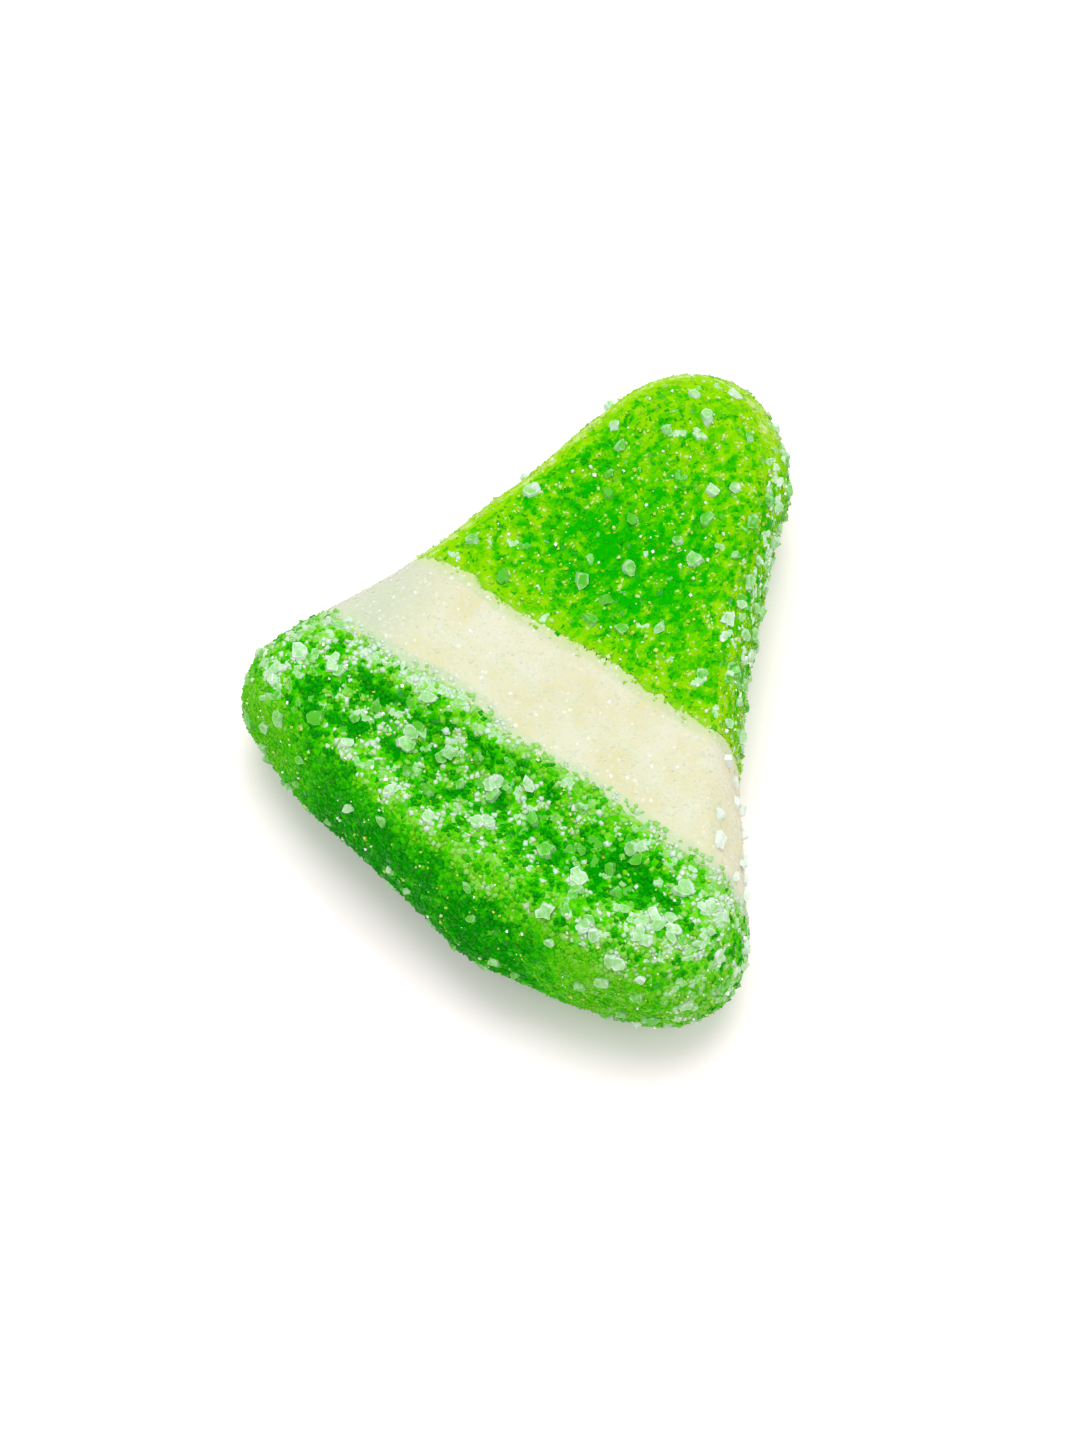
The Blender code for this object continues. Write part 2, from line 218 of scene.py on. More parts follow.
# What each zone adds: to how light the green is, to how mixed it is, to the share of pale sugar
BASE_ZONES = {
    "everywhere": (0.37, 0.80, 0.06),
    "trough": (-0.12, 0.30, 0.22),
    "left_end": (0.12, -0.25, 0.10),
    "rim": (0.60, 0.0, 0.10),
    "rim_right": (-0.32, 0.0, 0.0),
    "rim_middle": (0.0, -0.30, 0.0),
    # Lighter along the ridge: painted highlight on the rounded edge, with fewer and less mixed grains
    # there
    "ridge": (0.13, -0.40, -0.08),
    # Lighter on the right-facing edge: partly pale sugar, partly a painted sheen along the edge
    "right_edge": (0.16, 0.0, 0.30),
    "wall": (-0.03, -0.55, -0.20),
    # Darker low on the front wall towards the floor: partly painted shade, partly deeper jelly under
    # less sugar
    "low_wall": (-0.36, 0.0, 0.0),
    "dark_pit": (-0.40, -0.30, -0.25),
    "left_pit": (-0.22, 0.0, 0.0),
    "white_sheet": (0.30, 0.0, 0.30),
}
TIP_ZONES = {
    "everywhere": (0.45, 1.05, 0.03),
    # The tip is painted darker in its thick middle and lighter at its thin apex and along its far rim:
    # painted glow of light through the thinner jelly
    "middle": (-0.44, 0.0, 0.0),
    "right_side": (-0.02, 0.0, 0.24),
    "left_side": (0.04, -0.50, 0.0),
    "apex": (0.10, -0.70, 0.0),
    "near_cream": (0.22, -0.30, 0.0),
    # Painted light along the rim that turns away from the camera
    "lit_rim": (0.70, 0.0, 0.0),
}
CREAM_PALE = 0.02
CREAM_PALE_RIGHT = 0.25

# A flake about one unit wide: how uneven its corners' turns, reaches and heights are, how its
# upper face draws in and drops, how much of the rim's painted highlight its upper edge has, how many
# corners
FLAKE_TURN = 0.28
FLAKE_REACH = (0.30, 0.56)
FLAKE_UNEVEN = 0.08
FLAKE_TAPER = 0.85
FLAKE_DROP = 0.05
FLAKE_UPPER_RIM = 0.8
FLAKE_CORNERS = (6, 7, 8, 9)
LARGE_CORNERS = (7, 8, 9)

# A sheet of flakes: how many, their corners, width and thickness, and the step to the next
SHEET_FLAKES = (3, 4, 5)
SHEET_CORNERS = (5, 6, 7)
SHEET_WIDTH = (0.32, 0.6)
SHEET_THICKNESS = (0.6, 1.0)
SHEET_STEP = 0.24
SHEET_TURN = 1.4

# A block of grit: its side, and how far its corners lie from the middle against a cube's
GRIT_SIDE = 0.85
GRIT_CORNER = (0.65, 1.05)

# Loose sugar: shapes of each kind, cell for finding neighbours, room of a large crystal and of the
# floor against size, how much the small ones outnumber the large, how uneven the sides are
SHAPES = 16
GRAIN_CELL = 1.3 * MM
LARGE_ROOM = 0.8
FLOOR_ROOM = 0.6
SIZE_POWER = 1.6
GRAIN_SIDES = (0.65, 1.0)

# Grains for each square millimetre. Of clear sugar and glints: everywhere on the greens, with pale
# sugar, and (glints) on the tip
MILKY_COUNT = 4.5
CLEAR_COUNT = (0.2, 2.5)
BASE_COUNT = 26.0
TIP_COUNT = 16.0
CREAM_COUNT = 14.0
GLINT_COUNT = (0.8, 2.5, 0.3)

# How patches thin or thicken the pale sugar, and how much less lies on the tip's left
PATCHY = 2.2
PATCHY_RANGE = (0.1, 3.0)
LEFT_THINNED = 0.7

# How far the greens' grains run over a border, and how much lies by it on the cream
BORDER_MIX = 0.7 * MM
BASE_ON_CREAM = 0.7
TIP_ON_CREAM = 0.35

# What a grain's lightness gets from its own tone, its patch and a clump, and the least on the cream
TONE_SHARE = 0.5
PATCH_SHARE = 1.5
CLUMP_SHARE = 0.55
LEAST_ON_CREAM = 0.7

# The same for the large crystals, with what all of them get, and the lightness of those on the cream
LARGE_PATCH_SHARE = 0.8
LARGE_CLUMP_SHARE = 0.5
LARGE_LIGHTER = 0.1
LARGE_ON_CREAM = 1.5

# Kinds of loose sugar in the order of their scattering: smallest and largest, how far apart and how
# far out they lie against size, and a flat kind's thickness and tilt
SUGAR_KINDS = {
    "milky_sugar": dict(
        size=(0.36 * MM, 1.3 * MM), spacing=0.4, lift=0.03, shape="sheet", flat=(0.2, 0.2)),
    "clear_sugar": dict(size=(0.30 * MM, 0.6 * MM), spacing=0.6, lift=-0.05, shape="flake"),
    "base_sugar": dict(
        size=(0.26 * MM, 0.56 * MM), spacing=0.5, lift=-0.1, flat=(0.6, 0.35), smooth=True),
    "tip_sugar": dict(
        size=(0.20 * MM, 0.46 * MM), spacing=0.5, lift=-0.15, flat=(0.5, 0.35), smooth=True),
    "cream_sugar": dict(size=(0.18 * MM, 0.36 * MM), spacing=0.6, lift=-0.05, flat=(0.3, 0.12)),
    # glints are tiny specks coloured as painted highlights
    "glints": dict(size=(0.08 * MM, 0.26 * MM), spacing=0.2, lift=0.4),
}
CASTS_NO_SHADOW = ("milky_sugar", "clear_sugar", "cream_sugar")

# Camera, as the photograph was taken
VIEW_AZIMUTH = math.radians(33)
VIEW_HEIGHT = math.radians(70)
VIEW_DISTANCE = 0.42
VIEW_AIM = Vector((-0.7, -4.5, 5.0)) * MM
PIXELS_PER_MM = 17.6
IMAGE_HEIGHT = 1448
SENSOR = 36.0
CLIP_START = 0.01

# Light: strength of the air, then the sun's strength, spread in degrees and where it comes from as
# the camera sees it (right, away, up)
AIR = 1.1
SUN = 1.8
SUN_SPREAD = 38
SUN_FROM = (0.04, 0.36, 1.0)

# Light that a level surface gets, in units of what a white one needs to look white
LIGHT = 1.50

# White paper: half its side, how far it lies below the wedge, and its shades, which make up for the
# green that the wedge throws on it
PAPER_HALF = 1.5
PAPER_DROP = 0.02 * MM
PAPER_GRAIN = 0.03
PAPER_DARK = (0.93, 0.84, 0.87, 1.0)
PAPER_LIGHT = (0.94, 0.85, 0.88, 1.0)


def seen(*srgb):
    """The base colour that looks like a colour on the screen (0 to 255) on a level surface."""
    parts = [c / 255 for c in srgb]
    light = [p / 12.92 if p <= 0.04045 else ((p + 0.055) / 1.055) ** 2.4 for p in parts]
    return (*(value / LIGHT for value in light), 1.0)


def angle_of(direction):
    return math.atan2(direction.y, direction.x)


def side_centre(start, end, bend):
    """Centre of the arc of radius bend that touches two corner circles."""
    reach = abs(bend - start[1])
    other_reach = abs(bend - end[1])
    along = end[0] - start[0]
    span = along.length
    along.normalize()
    foot = (reach ** 2 - other_reach ** 2 + span ** 2) / (2 * span)
    across = Vector((-along.y, along.x)) * math.sqrt(reach ** 2 - foot ** 2)
    return start[0] + along * foot + (across if bend > 0 else -across)


def drawn_in(corner, shrink):
    """A corner circle moved towards the middle, and made smaller."""
    centre, radius = corner
    inward = (MIDDLE - centre).normalized()
    return centre + inward * CORNER_PULL * shrink, radius - CORNER_SHRINK * shrink


@functools.lru_cache(maxsize=None)
def outline(shrink):
    """Six arcs round the wedge, anticlockwise: (centre, radius, first angle, sweep)."""
    corners = [drawn_in(c, shrink) for c in (LEFT_CORNER, RIGHT_CORNER, TIP_CORNER)]
    bends = (BASE_BEND, RIGHT_BEND, LEFT_BEND)
    sides = []
    for i, bend in enumerate(bends):
        start, end = corners[i], corners[(i + 1) % 3]
        centre = side_centre(start, end, bend)
        outward = 1 if bend > 0 else -1
        normals = [outward * (c[0] - centre).normalized() for c in (start, end)]
        sides.append((centre, outward, normals))
    arcs = []
    for i, bend in enumerate(bends):
        centre, outward, normals = sides[i]
        first = angle_of(sides[i - 1][2][1])
        sweep = (angle_of(normals[0]) - first) % math.tau
        arcs.append((corners[i][0], corners[i][1], first, sweep))
        first = angle_of(outward * normals[0])
        sweep = (angle_of(outward * normals[1]) - first + math.pi) % math.tau - math.pi
        arcs.append((centre, abs(bend), first, sweep))
    return arcs


def outline_point(share, shrink):
    """A point of the drawn-in outline, by its share of the way round the full one.

    The way starts at the middle of the left corner.
    """
    lengths = [radius * abs(sweep) for _, radius, _, sweep in outline(0.0)]
    way = (share * sum(lengths) + lengths[0] / 2) % sum(lengths)
    index = 0
    while way > lengths[index] and index < len(lengths) - 1:
        way -= lengths[index]
        index += 1
    centre, radius, first, sweep = outline(shrink)[index]
    angle = first + sweep * way / lengths[index]
    return centre + radius * Vector((math.cos(angle), math.sin(angle)))


def share_round_square(u, v):
    """How far round a square a direction points, anticlockwise from its lower left corner."""
    reach = max(abs(u), abs(v), TINY)
    u, v = u / reach, v / reach
    if v <= -1 + TINY:
        return (u + 1) / 8
    if u >= 1 - TINY:
        return 0.25 + (v + 1) / 8
    if v >= 1 - TINY:
        return 0.5 + (1 - u) / 8
    return 0.75 + (1 - v) / 8


def hollow(x, y, shape):
    """Height of a smooth hollow, which fades out at the edge of its ellipse."""
    centre, half_length, half_width, depth = shape
    reach = math.hypot((x - centre.x) / half_length, (y - centre.y) / half_width)
    return -depth * math.cos(0.5 * math.pi * min(reach, 1.0)) ** 2


def moulded(u, v, w):
    """Where a point on the surface of a cube from -1 to 1 lies on the wedge."""
    turn = 0.5 * math.pi * w
    rise = math.sin(turn)
    drawn = 1 - math.cos(turn)
    if w > 0:
        shrink = TOP_ROUNDING * drawn
        z = WAIST_HEIGHT + (THICKNESS - WAIST_HEIGHT) * rise
    else:
        shrink = BOTTOM_ROUNDING * drawn
        z = WAIST_HEIGHT * (1 + rise)
    edge = outline_point(share_round_square(u, v), round(shrink, SHRINK_DIGITS))
    place = MIDDLE.lerp(edge, max(abs(u), abs(v)))
    if w > 0:
        relief = sum(hollow(place.x, place.y, s) for s in (BASE_TROUGH, TIP_DISH, CREAM_RIM))
        z += relief * rise ** 3
    return Vector((place.x, place.y, z))


def unevenness(place):
    """Height of the lumps at a place, none on the flat that the wedge rests on."""
    height = noise.noise(place / LUMP_SIZE) * LUMP_HEIGHT
    for centre, reach, rise in WALL_LUMPS:
        height += rise * math.exp(-((place - centre).length / reach) ** 2)
    return height * min(1.0, place.z / FLAT_BELOW)


def wedge(cuts):
    """The whole wedge, closed: a cube's grid of squares, moulded and made uneven."""
    bm = bmesh.new()
    bmesh.ops.create_cube(bm, size=2.0)
    bmesh.ops.subdivide_edges(bm, edges=bm.edges[:], cuts=cuts, use_grid_fill=True)
    for vert in bm.verts:
        vert.co = moulded(*vert.co)
    bm.normal_update()
    offsets = [vert.normal * unevenness(vert.co) for vert in bm.verts]
    for vert, offset in zip(bm.verts, offsets):
        vert.co += offset
    return bm


def ripple(x, shape):
    height, length, phase = shape
    return height * math.sin(x / length + phase)


def base_border(x):
    """The line between base and cream."""
    fade = math.exp(-((x - BASE_RIPPLE_MIDDLE) / BASE_RIPPLE_REACH) ** 2)
    return CREAM_FROM + CREAM_SLOPE * x + ripple(x, BASE_RIPPLE) * fade


def tip_border(x):
    """The line between cream and tip."""
    return CREAM_TO + sum(ripple(x, shape) for shape in TIP_RIPPLES)


def layer_of(place):
    """The layer that a place is in, and its distance from the nearest border."""
    past_base = place.y - base_border(place.x)
    past_cream = place.y - tip_border(place.x)
    room = min(abs(past_base), abs(past_cream))
    if past_base < 0:
        return "base_jelly", room
    return ("cream_band", room) if past_cream < 0 else ("tip_jelly", room)


def sugar_share(place, normal):
    """How likely a crystal is to stay: dense in the trough and down the right, thin on the left."""
    layer, _ = layer_of(place)
    faces_right = normal.x > SIDE_NORMAL
    if layer == "cream_band":
        return STAYS_ON_RIGHT if faces_right and normal.z > 0 else 0.0
    if normal.z < UNDER_NORMAL:
        return STAYS_UNDER
    if layer == "tip_jelly":
        on_side = STAYS_ON_RIGHT if faces_right else STAYS_ON_LEFT
        return STAYS_ON_TIP if normal.z > TOP_NORMAL else on_side
    if hollow(place.x, place.y, BASE_TROUGH) < TROUGH_FROM and normal.z > TOP_NORMAL:
        return STAYS_IN_TROUGH
    if abs(place.x) > BASE_END_FROM:
        return STAYS_AT_BASE_END
    return STAYS_ON_FRONT if normal.y < -SIDE_NORMAL else STAYS_ON_BASE


def off_border(place, size):
    return layer_of(place)[1] > CRYSTAL_TO_BORDER * size + LAYER_GAP


def clump_crystals(surface, rng):
    """Places for the crystals of every clump, which overlap: (place, normal, size, flatness)."""
    smallest, largest, flatness = CLUMP_CRYSTAL
    placed = []
    for *shape, count in CLUMPS:
        x, y, reach = (value * MM for value in shape)
        for _ in range(count):
            way = rng.uniform(0, math.tau)
            off = reach * math.sqrt(rng.random())
            above = Vector((x + off * math.cos(way), y + off * math.sin(way), THICKNESS))
            place, normal, _, _ = surface.find_nearest(above)
            size = rng.uniform(smallest, largest)
            if off_border(place, size):
                placed.append((place, normal, size, flatness))
    return placed


def scattered_crystals(body):
    """Places for all crystals: those of the clumps, then others drawn at random over the surface.

    One of the others stays where it is clear of the earlier ones, of the borders and of the floor.
    """
    rng = random.Random(SEED)
    body.calc_loop_triangles()
    triangles = [[body.vertices[i].co for i in t.vertices] for t in body.loop_triangles]
    areas = [t.area for t in body.loop_triangles]
    surface = BVHTree.FromPolygons(
        [v.co for v in body.vertices], [tuple(t.vertices) for t in body.loop_triangles])
    placed = clump_crystals(surface, rng)
    for count, smallest, largest, flatness in CRYSTAL_SIZES:
        wanted = len(placed) + count
        for a, b, c in rng.choices(triangles, weights=areas, k=CRYSTAL_TRIES):
            along, across = rng.random(), rng.random()
            if along + across > 1:
                along, across = 1 - along, 1 - across
            place = a + (b - a) * along + (c - a) * across
            _, normal, _, _ = surface.find_nearest(place)
            size = rng.uniform(smallest, largest)
            clear = all((place - p).length > CRYSTAL_SPACING * (size + s) for p, _, s, _ in placed)
            off_floor = place.z > CRYSTAL_TO_FLOOR * size + CRYSTAL_FLOOR
            stays = rng.random() < sugar_share(place, normal)
            if stays and clear and off_floor and off_border(place, size):
                placed.append((place, normal, size, flatness))
            if len(placed) == wanted:
                break
    return placed


def flake(rng, corners):
    """A flat crystal with an uneven outline, about one unit wide and thick: points, triangles, rim.

    rim is 1 along its lower edge, less along its upper one, and 0 in the middle of its faces; it places
    the painted highlight along a crystal's edges.
    """
    count = rng.choice(corners)
    low, high = [], []
    for i in range(count):
        turn = math.tau * (i + rng.uniform(-FLAKE_TURN, FLAKE_TURN)) / count
        reach = rng.uniform(*FLAKE_REACH)
        x, y = reach * math.cos(turn), reach * math.sin(turn)
        low.append((x, y, -0.5))
        top = 0.5 - FLAKE_DROP + rng.uniform(-FLAKE_UNEVEN, FLAKE_UNEVEN)
        high.append((x * FLAKE_TAPER, y * FLAKE_TAPER, top))
    aside = [rng.uniform(-FLAKE_UNEVEN, FLAKE_UNEVEN) for _ in range(2)]
    middle = (*aside, 0.5)
    points = np.array(low + high + [middle, (0.0, 0.0, -0.5)])
    faces = []
    for i in range(count):
        j = (i + 1) % count
        faces += [(i, j, count + j), (i, count + j, count + i)]
        faces += [(count + i, count + j, 2 * count), (j, i, 2 * count + 1)]
    rim = np.array([1.0] * count + [FLAKE_UPPER_RIM] * count + [0.0, 1.0])
    return points, np.array(faces), rim


def sheet(rng):
    """Flat crystals grown together side by side, about one unit across: points, triangles, rim."""
    points, faces, rim = [], [], []
    middle, heading, start = np.zeros(3), rng.uniform(0, math.tau), 0
    for _ in range(rng.choice(SHEET_FLAKES)):
        own, triangles, own_rim = flake(rng, SHEET_CORNERS)
        width = rng.uniform(*SHEET_WIDTH)
        points.append(own * (width, width, rng.uniform(*SHEET_THICKNESS)) + middle)
        faces.append(triangles + start)
        rim.append(own_rim)
        start += len(own)
        heading += rng.uniform(-SHEET_TURN, SHEET_TURN)
        middle = middle + SHEET_STEP * np.array((math.cos(heading), math.sin(heading), 0.0))
    points = np.concatenate(points)
    return points - points.mean(axis=0), np.concatenate(faces), np.concatenate(rim)


def grit(rng):
    """A small block with uneven corners: points, triangles, rim."""
    bm = bmesh.new()
    bmesh.ops.create_cube(bm, size=GRIT_SIDE)
    bmesh.ops.triangulate(bm, faces=bm.faces[:])
    points = np.array([v.co * rng.uniform(*GRIT_CORNER) for v in bm.verts])
    faces = np.array([[v.index for v in f.verts] for f in bm.faces])
    bm.free()
    return points, faces, np.ones(len(points))


def crystal(spot, rng, shape_rng):
    """One of the solids' crystals, as a flake of the same size and lie.

    The solids draw their crystals' eight corners from rng. They are drawn here too, so that the
    next crystal gets the same numbers as there.
    """
    place, normal, size, flatness = spot
    thickness = size * flatness * rng.uniform(*CRYSTAL_THINNED)
    sides = Vector((size, size * rng.uniform(*CRYSTAL_WIDTH), thickness))
    tilt = CRYSTAL_TILT * flatness
    turned = Euler((rng.uniform(-tilt, tilt), rng.uniform(-tilt, tilt), rng.uniform(0, math.tau)))
    turn = normal.to_track_quat("Z", "Y").to_matrix() @ turned.to_matrix()
    for _ in range(8):
        rng.uniform(*CRYSTAL_CORNER)
    points, faces, rim = flake(shape_rng, LARGE_CORNERS)
    centre = place + normal * sides.z * CRYSTAL_LIFT
    return (points * np.array(sides)) @ np.array(turn).T + np.array(centre), faces, rim


def random_turns(count, rng):
    """Rotation matrices that point evenly in all directions."""
    q = rng.normal(size=(count, 4))
    q /= np.linalg.norm(q, axis=1, keepdims=True)
    w, x, y, z = q.T
    return np.stack([
        np.stack([1 - 2 * (y * y + z * z), 2 * (x * y - z * w), 2 * (x * z + y * w)], axis=1),
        np.stack([2 * (x * y + z * w), 1 - 2 * (x * x + z * z), 2 * (y * z - x * w)], axis=1),
        np.stack([2 * (x * z - y * w), 2 * (y * z + x * w), 1 - 2 * (x * x + y * y)], axis=1),
    ], axis=1)


def lying_turns(normals, tilt, rng):
    """Rotation matrices whose Z lies near each normal."""
    z = normals + rng.normal(scale=tilt, size=normals.shape)
    z /= np.linalg.norm(z, axis=1, keepdims=True)
    x = np.cross(rng.normal(size=normals.shape), z)
    x /= np.linalg.norm(x, axis=1, keepdims=True)
    return np.stack([x, np.cross(z, x), z], axis=2)


def set_point_values(mesh, key, values):
    attribute = mesh.attributes.new(key, "FLOAT", "POINT")
    attribute.data.foreach_set("value", values.astype(np.float32))


def joined_mesh(name, pieces, smooth, **values):
    """One mesh of many small closed pieces. values has a number for each piece, kept on its points."""
    starts = np.cumsum([0] + [len(points) for points, _, _ in pieces])
    points = np.concatenate([points for points, _, _ in pieces])
    faces = np.concatenate([faces + start for (_, faces, _), start in zip(pieces, starts)])
    mesh = bpy.data.meshes.new(name)
    mesh.from_pydata(points.tolist(), [], faces.tolist())
    if smooth:
        mesh.shade_smooth()
    for key, value in values.items():
        set_point_values(mesh, key, np.repeat(value, np.diff(starts)))
    set_point_values(mesh, "rim", np.concatenate([rim for _, _, rim in pieces]))
    return mesh


def bell(distance, width):
    """1 at no distance, fading to nearly nothing at twice the width."""
    return np.exp(-(distance / width) ** 2)


def rising(value, start, length):
    """0 up to start, then rising to 1 over a length."""
    return np.clip((value - start) / length, 0, 1)


def falling(value, end, length):
    """0 from end on, after falling from 1 over a length."""
    return np.clip((end - value) / length, 0, 1)


def band(value, shape):
    """1 along the middle of a band, fading to both sides."""
    middle, width = shape
    return bell(value - middle, width)


def round_zone(x, y, shape):
    """1 in the middle of an ellipse, fading outwards."""
    middle_x, middle_y, reach_x, reach_y = shape
    return bell(np.hypot((x - middle_x) / reach_x, (y - middle_y) / reach_y), 1.0)


def base_zones(x, y, normals, past_base):
    """How much each place belongs to each zone of the base. Lengths are in millimetres."""
    right, front, up = normals[:, 0], -normals[:, 1], normals[:, 2]
    level = rising(up, *LEVEL)
    faces_front = rising(front, *FRONT)
    rim = bell(past_base, RIM_WIDTH) * level
    # The low front wall, which is painted darker: painted shade near the floor
    low = falling(up, *LOW_WALL) * faces_front
    return {
        "everywhere": np.ones(len(x)),
        "trough": band(y, TROUGH_BAND) * level * falling(x, *TROUGH_RIGHT),
        "left_end": falling(x, *LEFT_END) * rising(y, *LEFT_END_Y),
        "rim": rim,
        "rim_right": rim * rising(x, *RIM_RIGHT),
        "rim_middle": rim * (x > RIM_MIDDLE),
        # Band along the ridge, which gets the painted highlight
        "ridge": bell(y + RIDGE_Y + RIDGE_SLOPE * np.clip(x, 0, RIDGE_BEND_END), RIDGE_WIDTH),
        # Right-facing edge, with pale sugar and a painted sheen
        "right_edge": rising(right, *RIGHT_EDGE) * rising(x, *RIGHT_END),
        "wall": falling(up, *WALL) * faces_front,
        "low_wall": low * rising(x, *LOW_WALL_LEFT) * falling(x, *LOW_WALL_RIGHT),
        "dark_pit": round_zone(x, y, DARK_PIT) * level,
        "left_pit": round_zone(x, y, LEFT_PIT) * level,
        "white_sheet": round_zone(x, y, WHITE_SHEET),
    }


def tip_zones(x, y, normals, past_cream):
    """How much each place belongs to each zone of the tip. Lengths are in millimetres."""
    right, front, up = normals[:, 0], -normals[:, 1], normals[:, 2]
    right_side = rising(right, *TIP_RIGHT)
    behind = front < LIT_RIM_FRONT
    return {
        "everywhere": np.ones(len(x)),
        # Thick middle, painted darker
        "middle": round_zone(x, y, TIP_MIDDLE) * rising(up, *LEVEL),
        "right_side": right_side,
        "left_side": falling(right, *TIP_LEFT),
        "apex": band(y, APEX_BAND),
        "near_cream": bell(past_cream, NEAR_CREAM_WIDTH),
        # Rim turning away from the camera, which gets painted light
        "lit_rim": band(up, LIT_RIM_UP) * (1 - right_side) * behind,
    }


def weighed(zones_here, weights):
    """Lightness, mixture and pale sugar: each zone's share times what it adds, summed."""
    return sum(np.outer(weights[name], share) for name, share in zones_here.items())


def zones(places, normals):
    """At each place: how light the green looks, how mixed, and how much pale sugar lies on it."""
    x, y, _ = places.T / MM
    past_base = y - np.array([base_border(along * MM) for along in x]) / MM
    past_cream = y - np.array([tip_border(along * MM) for along in x]) / MM
    on_tip = tip_zones(x, y, normals, past_cream)
    base = weighed(base_zones(x, y, normals, past_base), BASE_ZONES)
    tip = weighed(on_tip, TIP_ZONES)
    greyer_end = falling(x, *CREAM_LEFT)
    cream_pale = CREAM_PALE + CREAM_PALE_RIGHT * on_tip["right_side"] * (x > RIGHT_END[0])
    cream = np.stack([greyer_end, np.zeros(len(x)), cream_pale])
    in_base, in_tip = past_base < BORDER_MIX / MM, past_cream > -BORDER_MIX / MM
    light, mixed, pale = np.where(in_base, base, np.where(in_tip, tip, cream))
    return np.clip(light, 0, 1), mixed, np.clip(pale, 0, 1)


def signed_room(place):
    """Room to the nearest border in millimetres, negative on the cream where that is the base's."""
    layer, room = layer_of(place)
    nearer_base = layer == "cream_band" and abs(place.y - base_border(place.x)) <= room + TINY * MM
    return (-room if nearer_base else room) / MM


def patchiness(place):
    """Uneven patches of a grain's size and larger, about -0.6 to 0.6. The tip's are finer."""
    place = Vector(place)
    size = TIP_PATCH if place.y > tip_border(place.x) else BASE_PATCH
    return noise.fractal(place / size, PATCH_ROUGHNESS, 2.0, PATCH_OCTAVES)


class Skin:
    """The fine surface's squares as arrays: middle, normal, area, corners, layer and zones."""

    def __init__(self, bm, spots):
        bm.normal_update()
        self.corners = np.array([[v.co for v in f.verts] for f in bm.faces])
        self.middle = self.corners.mean(axis=1)
        self.normal = np.array([f.normal for f in bm.faces])
        self.area = np.array([f.calc_area() for f in bm.faces]) / MM ** 2
        self.layer = np.array([layer_of(Vector(p))[0] for p in self.middle])
        self.border = np.array([signed_room(Vector(p)) for p in self.middle])
        self.patch = np.array([patchiness(p) for p in self.middle])
        self.light, self.mixed, self.pale = zones(self.middle, self.normal)
        clumps = KDTree(len(spots))
        for i, (place, _, _, flatness) in enumerate(spots):
            if flatness == CLUMP_CRYSTAL[2]:
                clumps.insert(place, i)
        clumps.balance()
        gaps = np.array([clumps.find(p)[2] for p in self.middle])
        self.cluster = bell(gaps, CLUSTER_REACH)


class Grains:
    """Scatters loose sugar over the skin. Grains keep apart, those of later kinds too."""

    def __init__(self, skin, spots):
        self.skin = skin
        self.rng = np.random.default_rng(SEED)
        self.taken = {}
        shape_rng = random.Random(SEED + 2)
        self.shapes = {
            "grit": [grit(shape_rng) for _ in range(SHAPES)],
            "flake": [flake(shape_rng, FLAKE_CORNERS) for _ in range(SHAPES)],
            "sheet": [sheet(shape_rng) for _ in range(SHAPES)],
        }
        for place, _, size, _ in spots:
            self.take(np.array(place), size * LARGE_ROOM)

    def near(self, place):
        """The grains in the cells round a place: (place, size)."""
        i, j, k = (place // GRAIN_CELL).astype(int)
        for di, dj, dk in itertools.product((-1, 0, 1), repeat=3):
            yield from self.taken.get((i + di, j + dj, k + dk), ())

    def take(self, place, size):
        key = tuple((place // GRAIN_CELL).astype(int))
        self.taken.setdefault(key, []).append((tuple(place), size))

    def spread(self, density, smallest, largest, spacing):
        """Places by a density per square millimetre: (places, squares of the skin, sizes)."""
        expected = density * self.skin.area
        count = int(expected.sum())
        picks = self.rng.choice(len(expected), size=count, p=expected / expected.sum())
        along, across = self.rng.random((2, count, 1))
        corners = self.skin.corners[picks]
        near = corners[:, 0] * (1 - along) + corners[:, 1] * along
        far = corners[:, 3] * (1 - along) + corners[:, 2] * along
        places = near * (1 - across) + far * across
        spread = self.rng.random(count) ** SIZE_POWER
        sizes = np.sort(smallest + (largest - smallest) * spread)[::-1]
        kept = []
        for i, (place, size) in enumerate(zip(places, sizes)):
            if place[2] < FLOOR_ROOM * size:
                continue
            if any(math.dist(place, p) < spacing * (size + s) / 2 for p, s in self.near(place)):
                continue
            self.take(place, size)
            kept.append(i)
        return places[kept], picks[kept], sizes[kept]

    def lightness(self, places, picks, tone):
        """How light grains are: by zone, patch and own tone, and paler in the clumps."""
        own = TONE_SHARE * (tone - 0.5) + PATCH_SHARE * np.array([patchiness(p) for p in places])
        light = self.skin.light[picks] + self.skin.mixed[picks] * own
        light = light + CLUMP_SHARE * self.skin.cluster[picks]
        least = LEAST_ON_CREAM * (self.skin.layer[picks] == "cream_band")
        return np.clip(light, least, 1)

    def mesh(self, name, density, size, spacing, lift, shape="grit", flat=None, smooth=False):
        """One kind of grain as one mesh."""
        places, picks, sizes = self.spread(density, *size, spacing)
        normals = self.skin.normal[picks]
        count = len(places)
        stretch = self.rng.uniform(*GRAIN_SIDES, (count, 3))
        if flat:
            thickness, tilt = flat
            stretch[:, 2] *= thickness
            turns = lying_turns(normals, tilt, self.rng)
        else:
            turns = random_turns(count, self.rng)
        kinds = self.rng.integers(SHAPES, size=count)
        centres = places + normals * (sizes * lift)[:, None]
        pieces = []
        for centre, grain, turn, sides, kind in zip(centres, sizes, turns, stretch, kinds):
            points, faces, rim = self.shapes[shape][kind]
            pieces.append(((points * sides * grain) @ turn.T + centre, faces, rim))
        tone = self.rng.random(count)
        light = self.lightness(places, picks, tone)
        return joined_mesh(name, pieces, smooth, tone=tone, light=light, border=self.skin.border[picks])


def new_object(name, mesh, material):
    obj = bpy.data.objects.new(name, mesh)
    bpy.context.scene.collection.objects.link(obj)
    mesh.materials.append(material)
    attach(obj, "root")
    return obj


